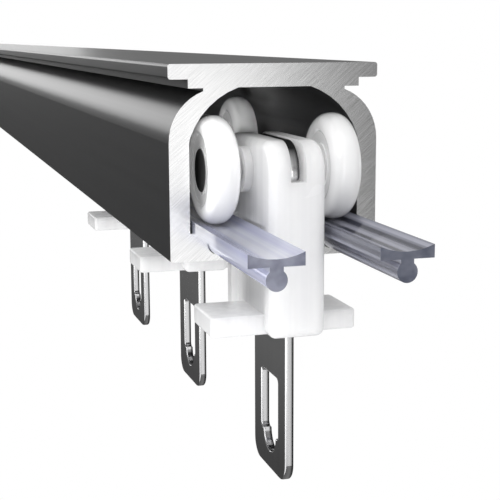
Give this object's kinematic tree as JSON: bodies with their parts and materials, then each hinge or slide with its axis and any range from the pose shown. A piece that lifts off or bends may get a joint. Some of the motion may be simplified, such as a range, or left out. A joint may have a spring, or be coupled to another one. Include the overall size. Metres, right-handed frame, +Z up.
{
  "type": "curtain track section with wheeled carriers",
  "caption": "Ceiling-fixed aluminium curtain track section with wheeled plastic carriers running on clear strips, each with a slotted steel hanger plate.",
  "frame": {"origin": "centre of the rail's top face, half way along its length", "axes": "+Z up out of the top face, +Y along the rail away from the front carrier, +X to the right when looking along +Y"},
  "size_m": [0.03, 0.6463, 0.0581],
  "materials": {
    "rail_black": "black anodised, satin, with bare saw-cut ends",
    "clear_strip": "translucent, smooth, faintly lavender",
    "white_plastic": "moulded, low gloss",
    "wheel_plastic": "moulded, glossy",
    "hanger_steel": "bright zinc-plated strip with rounded edges",
    "axle_steel": "turned, smooth",
    "black_cap": "moulded, matt"
  },
  "bodies": {
    "rail": {"rail": "rail_black", "strip_left": "clear_strip", "strip_right": "clear_strip"},
    "carrier_1": {"carrier_body_1": "white_plastic", "hanger_1": "hanger_steel", "axle_1": "axle_steel", "hub_cap_left_1": "black_cap", "hub_cap_right_1": "black_cap"},
    "wheel_left_1": {"wheel_left_1": "wheel_plastic"},
    "wheel_right_1": {"wheel_right_1": "wheel_plastic"},
    "carrier_2": {"carrier_body_2": "white_plastic", "hanger_2": "hanger_steel", "axle_2": "axle_steel", "hub_cap_left_2": "black_cap", "hub_cap_right_2": "black_cap"},
    "wheel_left_2": {"wheel_left_2": "wheel_plastic"},
    "wheel_right_2": {"wheel_right_2": "wheel_plastic"},
    "carrier_3": {"carrier_body_3": "white_plastic", "hanger_3": "hanger_steel", "axle_3": "axle_steel", "hub_cap_left_3": "black_cap", "hub_cap_right_3": "black_cap"},
    "wheel_left_3": {"wheel_left_3": "wheel_plastic"},
    "wheel_right_3": {"wheel_right_3": "wheel_plastic"}
  },
  "joints": [
    {"name": "carrier_1_slide", "type": "slide", "parent": "rail", "child": "carrier_1", "axis": [0, 1, 0], "range_m": [0, 0.0259]},
    {"name": "wheel_left_1_spin", "type": "hinge", "parent": "carrier_1", "child": "wheel_left_1", "pos_m": [-0.0086, -0.3092, -0.01438], "axis": [1, 0, 0], "continuous": true},
    {"name": "wheel_right_1_spin", "type": "hinge", "parent": "carrier_1", "child": "wheel_right_1", "pos_m": [0.0086, -0.3092, -0.01438], "axis": [1, 0, 0], "continuous": true},
    {"name": "carrier_2_slide", "type": "slide", "parent": "rail", "child": "carrier_2", "axis": [0, 1, 0], "range_m": [0, 0.0259]},
    {"name": "wheel_left_2_spin", "type": "hinge", "parent": "carrier_2", "child": "wheel_left_2", "pos_m": [-0.0086, -0.26135, -0.01438], "axis": [1, 0, 0], "continuous": true},
    {"name": "wheel_right_2_spin", "type": "hinge", "parent": "carrier_2", "child": "wheel_right_2", "pos_m": [0.0086, -0.26135, -0.01438], "axis": [1, 0, 0], "continuous": true},
    {"name": "carrier_3_slide", "type": "slide", "parent": "rail", "child": "carrier_3", "axis": [0, 1, 0], "range_m": [0, 0.5105]},
    {"name": "wheel_left_3_spin", "type": "hinge", "parent": "carrier_3", "child": "wheel_left_3", "pos_m": [-0.0086, -0.2135, -0.01438], "axis": [1, 0, 0], "continuous": true},
    {"name": "wheel_right_3_spin", "type": "hinge", "parent": "carrier_3", "child": "wheel_right_3", "pos_m": [0.0086, -0.2135, -0.01438], "axis": [1, 0, 0], "continuous": true}
  ]
}
